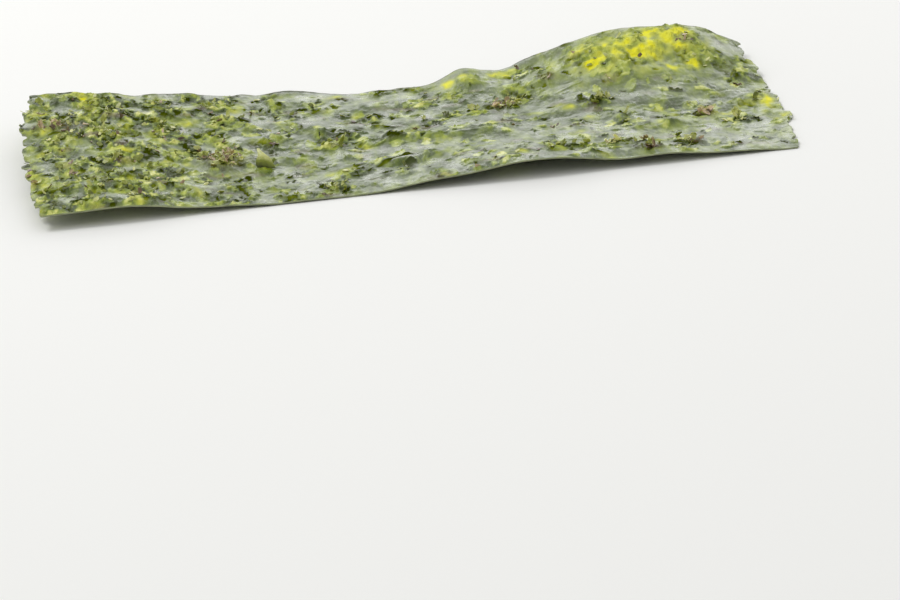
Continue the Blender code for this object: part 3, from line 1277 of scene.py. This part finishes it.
@dataclass
class Leaf:
    """One larger scrap of blade that stands on the film, leaning back."""

    film: Film
    x: float = -17.4 * MM
    y: float = -8.6 * MM
    width: float = 2.3 * MM
    length: float = 2.8 * MM
    lean: float = math.radians(48)
    skew: float = -0.3
    belly: float = 0.2
    narrowing: float = 0.96
    taper: float = 1.3
    ragged: float = 0.05
    ragged_waves: tuple[float, float] = (9.0, 4.0)
    hollow: float = 0.5
    turned_back: float = 0.25
    thickness: float = 0.06 * MM
    # Painted light and shade: paler up to the lit tip and to the right, darker at the shaded foot.
    lit_paler_up: float = 1.9
    lit_paler_right: float = 0.25
    palest: float = 0.88
    segments: int = 8
    strips: int = 6

    def build(self) -> Piece:
        """Shape the leaf: a triangle that narrows to its tip and bellies forward.

        Returns:
            The piece, painted paler towards its lit tip and darker at its shaded foot.
        """
        s, t = scrap_grid(self.segments, self.strips)
        half_width = self.width / 2 * (1.0 - self.narrowing * s ** self.taper)
        waves = np.sin(self.ragged_waves[0] * s + self.ragged_waves[1] * t) * np.abs(t)
        u = t * half_width + self.ragged * self.width * waves + self.skew * self.width * s
        rise = self.length * s
        forward = self.belly * self.length * np.sin(math.pi * s) * (1.0 - self.hollow * t ** 2)
        y = rise * math.cos(self.lean) - forward * math.sin(self.lean) - self.turned_back * u
        z = rise * math.sin(self.lean) + forward * math.cos(self.lean)
        front = np.stack([u, y, z], axis=-1).reshape(-1, 3)
        behind = front + self.thickness * np.array([0.0, math.sin(self.lean), -math.cos(self.lean)])
        away = np.hypot(self.film.x - self.x, self.film.y - self.y)
        row, column = np.unravel_index(np.argmin(away), away.shape)
        root = np.array([self.x, self.y, self.film.top[row, column] - self.thickness])
        piece = new_piece("leaf_flake", np.concatenate([behind, front]) + root,
                          scrap_faces(self.segments, self.strips).tolist(), FlakeKind.GREEN.value.build())
        # Painted light and shade: paler up to the lit tip and to the right, darker at the shaded foot.
        tones = np.clip(self.lit_paler_up * s + self.lit_paler_right * t, 0.0, self.palest)
        store(piece, "tone", np.tile(tones.ravel(), 2))
        return piece


@dataclass(frozen=True)
class SoftBox:
    """A soft lamp that faces the sheet: its name, its place, its width and height, and its watts."""

    name: str
    place: tuple[float, float, float]
    size: tuple[float, float]
    power: float

    def hang(self) -> None:
        """Hang the lamp, out of the camera's sight."""
        lamp = bpy.data.lights.new(self.name, 'AREA')
        lamp.shape = 'RECTANGLE'
        lamp.size, lamp.size_y = self.size
        lamp.energy = self.power
        box = bpy.data.objects.new(self.name, lamp)
        box.location = self.place
        box.rotation_euler = (-Vector(self.place)).to_track_quat('-Z', 'Y').to_euler()
        box.visible_camera = False
        bpy.context.scene.collection.objects.link(box)


@dataclass
class Studio:
    """A pale floor, soft light and the camera."""

    target: Vector = field(default_factory=lambda: Vector((3.94, 0.0, -21.20)) * MM)
    azimuth: float = math.radians(-4.55)
    elevation: float = math.radians(16.93)
    roll: float = math.radians(-5.02)
    distance: float = 618.4 * MM
    lens: float = 200.0
    sensor: float = 36.0
    sight: Span = (0.01, 20.0)
    floor_size: float = 6.0
    floor_gap: float = 0.05 * MM
    floor_colour: str = "#F4F4F1"
    floor_roughness: float = 0.9
    room_light: float = 0.62
    soft_boxes: tuple[SoftBox, ...] = (
        SoftBox("low back strip", (0.0, 1.0, 0.28), (2.0, 0.36), 3.9),
        SoftBox("back box", (0.0, 0.8, 0.55), (1.7, 0.6), 1.6),
        SoftBox("key box", (-0.45, 0.3, 0.8), (0.35, 0.35), 3.0),
    )

    def build(self) -> None:
        """Set the floor, the lights and the camera."""
        self.floor()
        self.lights()
        self.camera()

    def floor(self) -> None:
        """Lay a pale matt floor just under the sheet."""
        deselect_all()
        bpy.ops.mesh.primitive_plane_add(size=self.floor_size, location=(0.0, 0.0, -self.floor_gap))
        floor = bpy.context.object
        floor.name = "floor"
        material, _, shader = new_material("matt white studio floor")
        shader.inputs["Base Color"].default_value = linear(self.floor_colour)
        shader.inputs["Roughness"].default_value = self.floor_roughness
        floor.data.materials.append(material)

    def lights(self) -> None:
        """Light the sheet from a white room, with soft boxes behind and above."""
        world = bpy.data.worlds.new("white room")
        bpy.context.scene.world = world
        world.use_nodes = True
        background = world.node_tree.nodes["Background"]
        background.inputs["Color"].default_value = (1.0, 1.0, 1.0, 1.0)
        background.inputs["Strength"].default_value = self.room_light
        for box in self.soft_boxes:
            box.hang()

    def camera(self) -> None:
        """Aim a long lens low over the front edge, tipped a little."""
        data = bpy.data.cameras.new("camera")
        data.lens = self.lens
        data.sensor_width = self.sensor
        data.clip_start, data.clip_end = self.sight
        camera = bpy.data.objects.new("camera", data)
        bpy.context.scene.collection.objects.link(camera)
        level = math.cos(self.elevation)
        away = Vector((math.sin(self.azimuth) * level, -math.cos(self.azimuth) * level,
                       math.sin(self.elevation)))
        camera.location = self.target + away * self.distance
        camera.rotation_mode = 'QUATERNION'
        camera.rotation_quaternion = (-away).to_track_quat('-Z', 'Y') @ Quaternion((0, 0, 1), self.roll)
        bpy.context.scene.camera = camera


def dress(piece: Piece) -> None:
    """Say that a piece moves with the sheet's body and stands for its solid.

    Args:
        piece: The finished piece.
    """
    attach(piece, BODY)
    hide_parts(NODE)
    LOG.info("%s: %d faces", piece.name, len(piece.data.polygons))


def main() -> None:
    """Build the film, its flakes and the studio."""
    logging.basicConfig(level=logging.INFO, format="%(name)s: %(message)s")
    bpy.context.scene.view_settings.view_transform = 'Standard'
    film = Film(SheetForm(), CrumblyPatches())
    dress(film.build())
    for kind, size, name, count, seed in (
            (FlakeKind.GREEN, FlakeSize.FLAKE, "green_flakes", 130, 11),
            (FlakeKind.BROWN, FlakeSize.FLAKE, "brown_flakes", 30, 12),
            (FlakeKind.GREEN, FlakeSize.CRUMB, "green_crumbs", 380, 13),
            (FlakeKind.BROWN, FlakeSize.CRUMB, "brown_crumbs", 90, 14),
            (FlakeKind.GREEN, FlakeSize.KNOT, "green_knots", 150, 15),
            (FlakeKind.BROWN, FlakeSize.KNOT, "brown_knots", 70, 16)):
        dress(Flakes(film, kind, size, name, count, seed).build())
    dress(Leaf(film).build())
    Studio().build()


if __name__ == "__main__":
    main()
